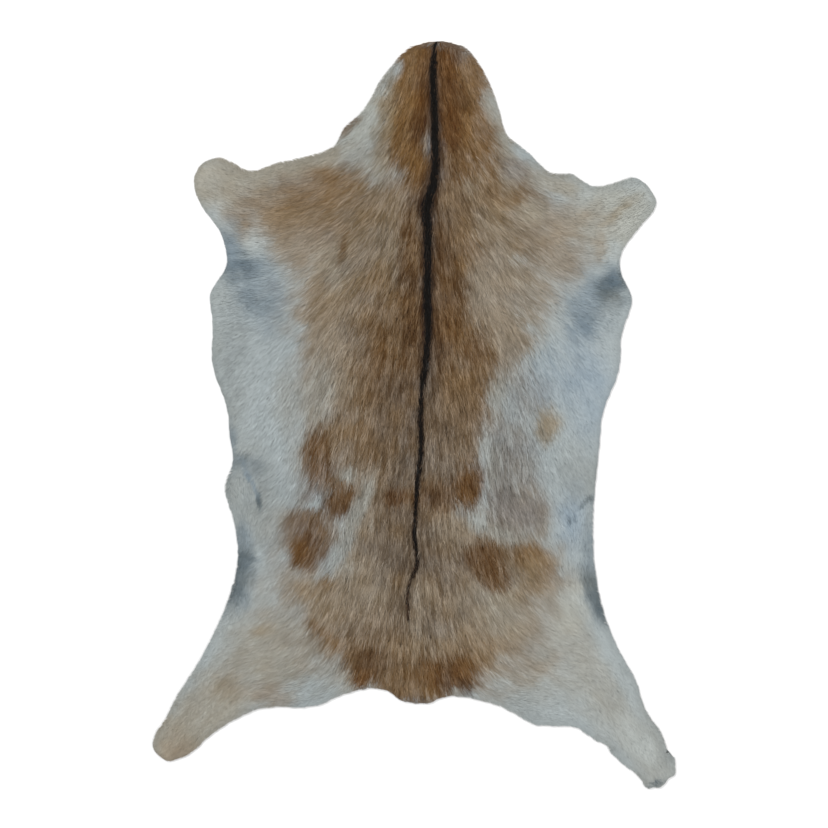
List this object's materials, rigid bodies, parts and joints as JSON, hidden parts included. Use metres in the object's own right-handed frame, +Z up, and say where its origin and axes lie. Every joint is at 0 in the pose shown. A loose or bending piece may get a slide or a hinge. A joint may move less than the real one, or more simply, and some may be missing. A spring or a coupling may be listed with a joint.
{
  "type": "goatskin rug",
  "caption": "Flat whole goatskin rug with its hair on, tan and rust patches on a pale coat, a dark back stripe, neck and legs left on.",
  "frame": {"origin": "middle of the hide's box on the floor, under its flat flesh side", "axes": "+Y towards the neck, +X towards the right-hand legs as seen from above, +Z up out of the hair side"},
  "size_m": [0.662, 0.95, 0.0086],
  "materials": {
    "goat_hair": "short lying goat hair, matt with a faint sheen along the hair, tan, rust and off-white",
    "goat_leather": "napped suede flesh side of the tanned skin, matt, pale buff"
  },
  "bodies": {
    "root": {"goatskin": "goat_hair"}
  },
  "joints": []
}
